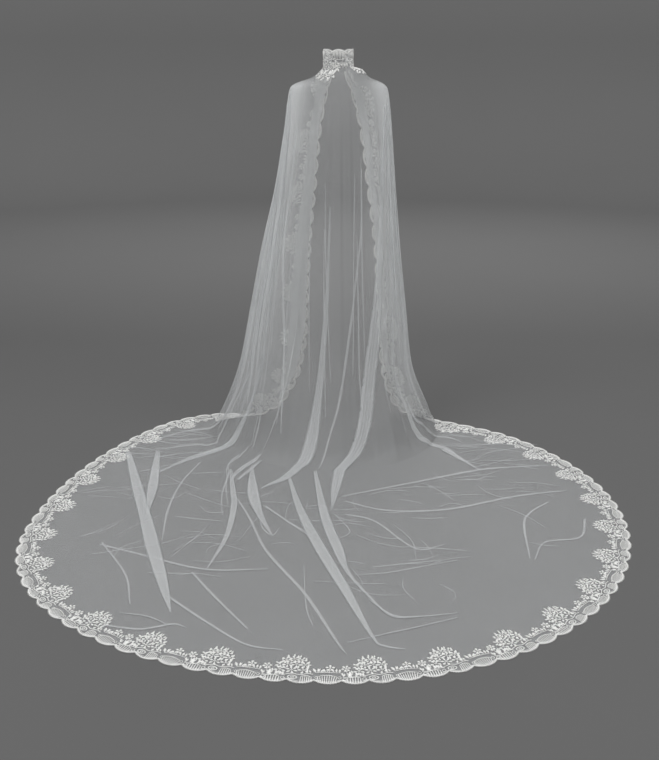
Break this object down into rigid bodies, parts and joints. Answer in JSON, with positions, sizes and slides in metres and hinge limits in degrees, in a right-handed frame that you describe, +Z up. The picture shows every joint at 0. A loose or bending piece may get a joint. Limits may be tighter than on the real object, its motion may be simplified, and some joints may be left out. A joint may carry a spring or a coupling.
{
  "type": "mantilla veil",
  "caption": "Cathedral-length sheer tulle mantilla veil, edged all round with scalloped floral lace, in its worn form with the train spread on the floor.",
  "frame": {"origin": "the neck seat: the middle of the neck opening, at the foot of the standing lace collar", "axes": "+Z up; -Y towards the end of the train, behind the wearer; +Y to the wearer's front, where the veil hangs open; +X to the right as seen from behind the wearer"},
  "size_m": [2.1044, 1.8806, 1.56],
  "materials": {
    "tulle": "sheer matte net",
    "lace": "soft satin thread"
  },
  "bodies": {
    "root": {"tulle_veil": "tulle", "lace_collar": "lace", "lace_front_left": "lace", "lace_front_right": "lace", "lace_train_left": "lace", "lace_train_right": "lace"}
  },
  "joints": []
}
